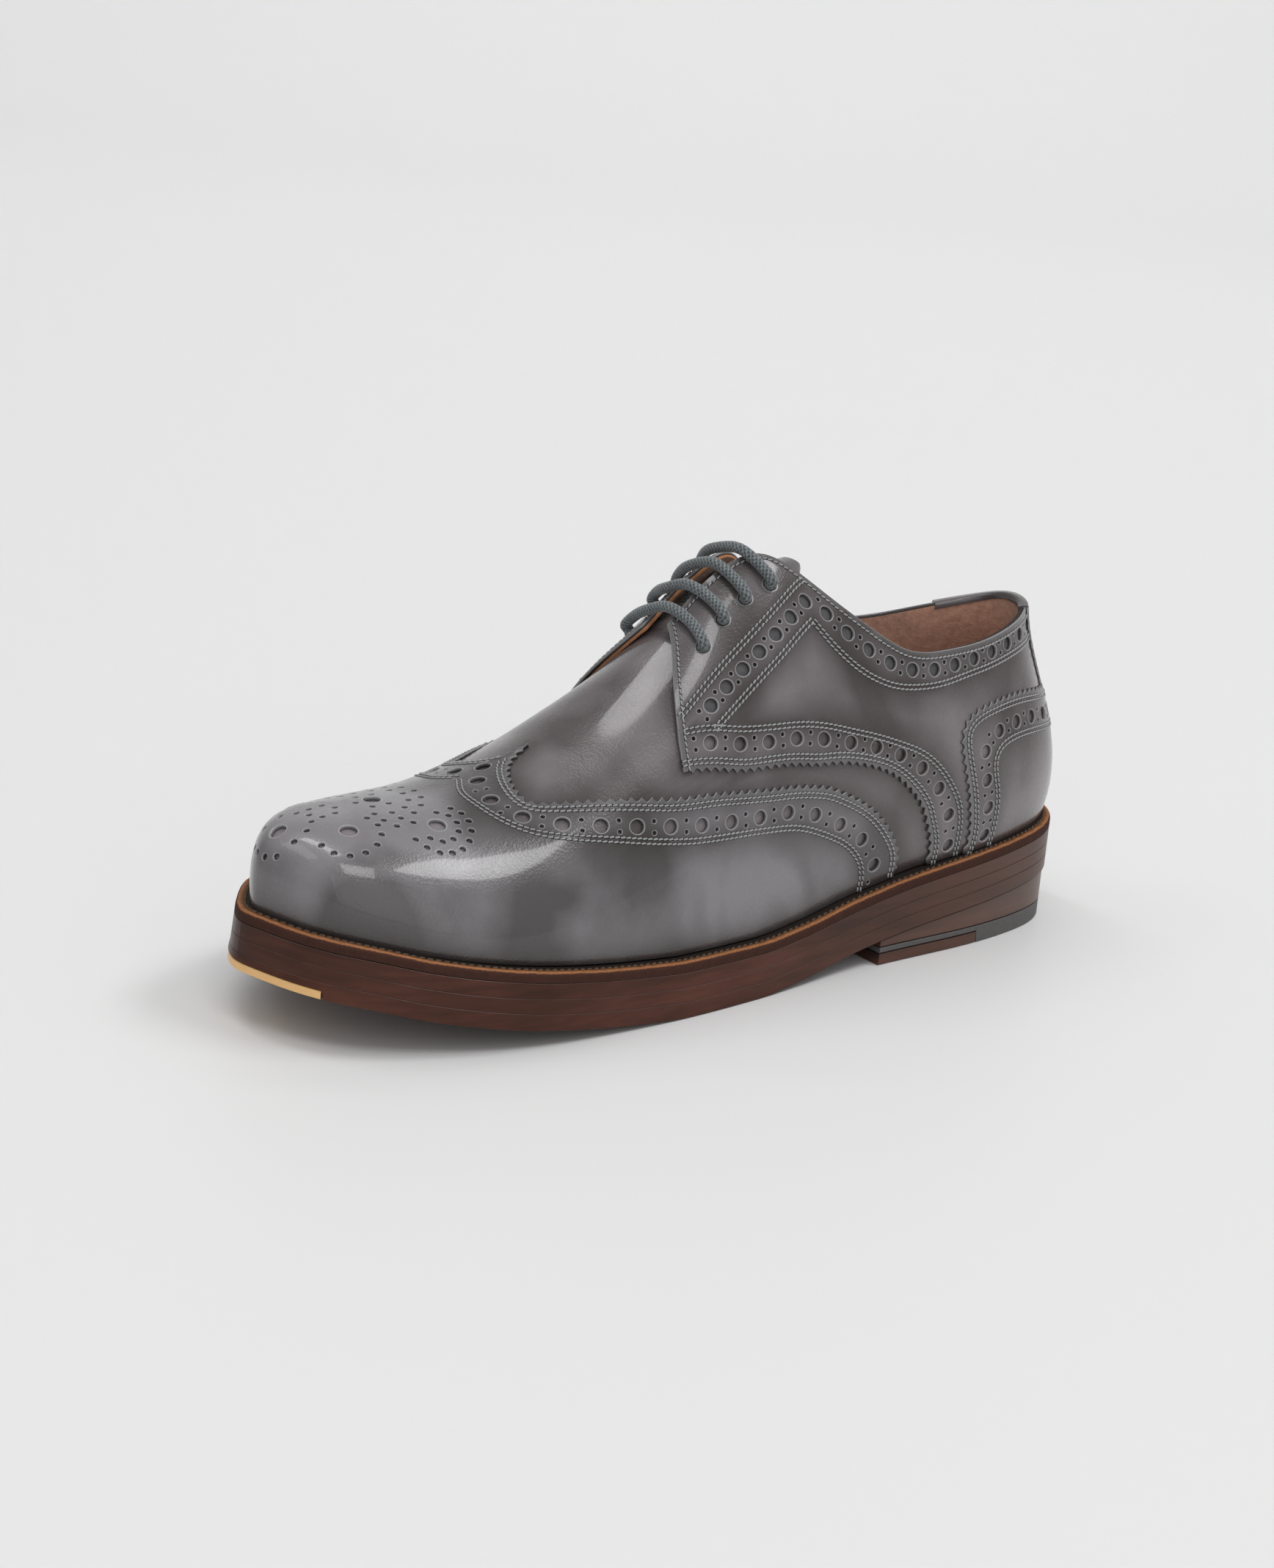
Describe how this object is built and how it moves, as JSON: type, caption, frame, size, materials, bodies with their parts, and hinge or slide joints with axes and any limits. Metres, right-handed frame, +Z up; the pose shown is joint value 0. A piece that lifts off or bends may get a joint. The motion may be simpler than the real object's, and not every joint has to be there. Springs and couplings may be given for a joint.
{
  "type": "full brogue derby shoe",
  "caption": "Left full brogue derby with a wing cap, open lacing, a welt all round, a thick layered leather sole, a stacked heel and a brass toe plate.",
  "frame": {"origin": "middle of the bottom of the shoe's bounding box, on the floor it stands on", "axes": "+X towards the toe, +Y towards the outer (lateral) side, +Z up"},
  "size_m": [0.304, 0.1064, 0.1304],
  "materials": {
    "upper_leather": "burnished grey, polished",
    "tongue_leather": "grey, polished",
    "lace_cord": "round braided cord, waxed",
    "insole_leather": "brown, matt",
    "welt_leather": "tan, stitched",
    "sole_leather": "dark brown edge, waxed",
    "toe_plate_brass": "brushed",
    "heel_leather": "dark brown edge, waxed",
    "heel_rubber": "black, matt"
  },
  "bodies": {
    "root": {"upper": "upper_leather", "tongue": "tongue_leather", "lace": "lace_cord", "insole": "insole_leather", "welt": "welt_leather", "midsole_upper": "sole_leather", "midsole_lower": "sole_leather", "outsole": "sole_leather", "toe_plate": "toe_plate_brass", "heel_stack": "heel_leather", "top_lift_leather": "heel_leather", "top_lift_rubber": "heel_rubber"}
  },
  "joints": []
}
